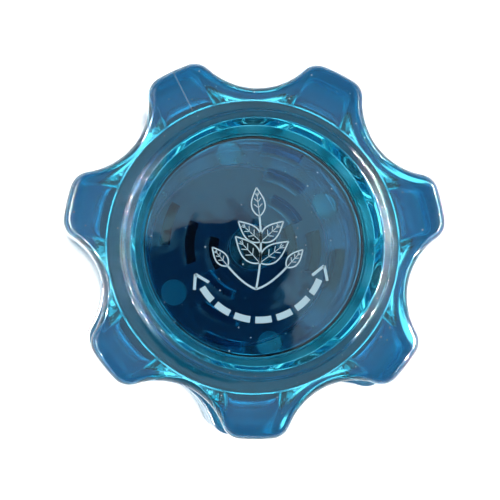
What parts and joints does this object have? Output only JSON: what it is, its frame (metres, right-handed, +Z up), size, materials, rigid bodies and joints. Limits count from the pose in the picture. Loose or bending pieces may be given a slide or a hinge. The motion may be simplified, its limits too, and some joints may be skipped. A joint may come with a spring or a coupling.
{
  "type": "lobed twist grinder",
  "caption": "Clear blue lobed twist grinder for herbs, with a recessed printed disc, interleaved tooth arcs and a storage cup.",
  "frame": {"origin": "centre of the storage cup's underside, on the grinder's axis", "axes": "+Z up along the grinder's axis towards the lid, -Y towards one of the lid's lobes"},
  "size_m": [0.0655, 0.0644, 0.0425],
  "materials": {
    "clear_blue_plastic": "clear, polished",
    "magnet_black": "satin",
    "clear_ring": "satin, translucent",
    "clear_seal": "satin, translucent",
    "pale_print": "matte ink"
  },
  "bodies": {
    "cup": {"storage_cup": "clear_blue_plastic"},
    "base": {"base_shell": "clear_blue_plastic", "base_tooth_plate": "clear_blue_plastic", "base_magnet": "magnet_black", "base_magnet_cap": "clear_blue_plastic", "cup_seal": "clear_seal"},
    "ring": {"glide_ring": "clear_ring"},
    "lid": {"lid_shell": "clear_blue_plastic", "lid_tooth_disc": "clear_blue_plastic", "lid_magnet": "magnet_black", "lid_magnet_cap": "clear_blue_plastic"}
  },
  "joints": [
    {"name": "base_pull", "type": "slide", "parent": "cup", "child": "base", "axis": [0, 0, 1], "range_m": [0, 0.012]},
    {"name": "lid_lift", "type": "slide", "parent": "base", "child": "ring", "axis": [0, 0, 1], "range_m": [0, 0.014]},
    {"name": "lid_turn", "type": "hinge", "parent": "ring", "child": "lid", "pos_m": [0, 0, 0.0273], "axis": [0, 0, 1], "continuous": true}
  ]
}
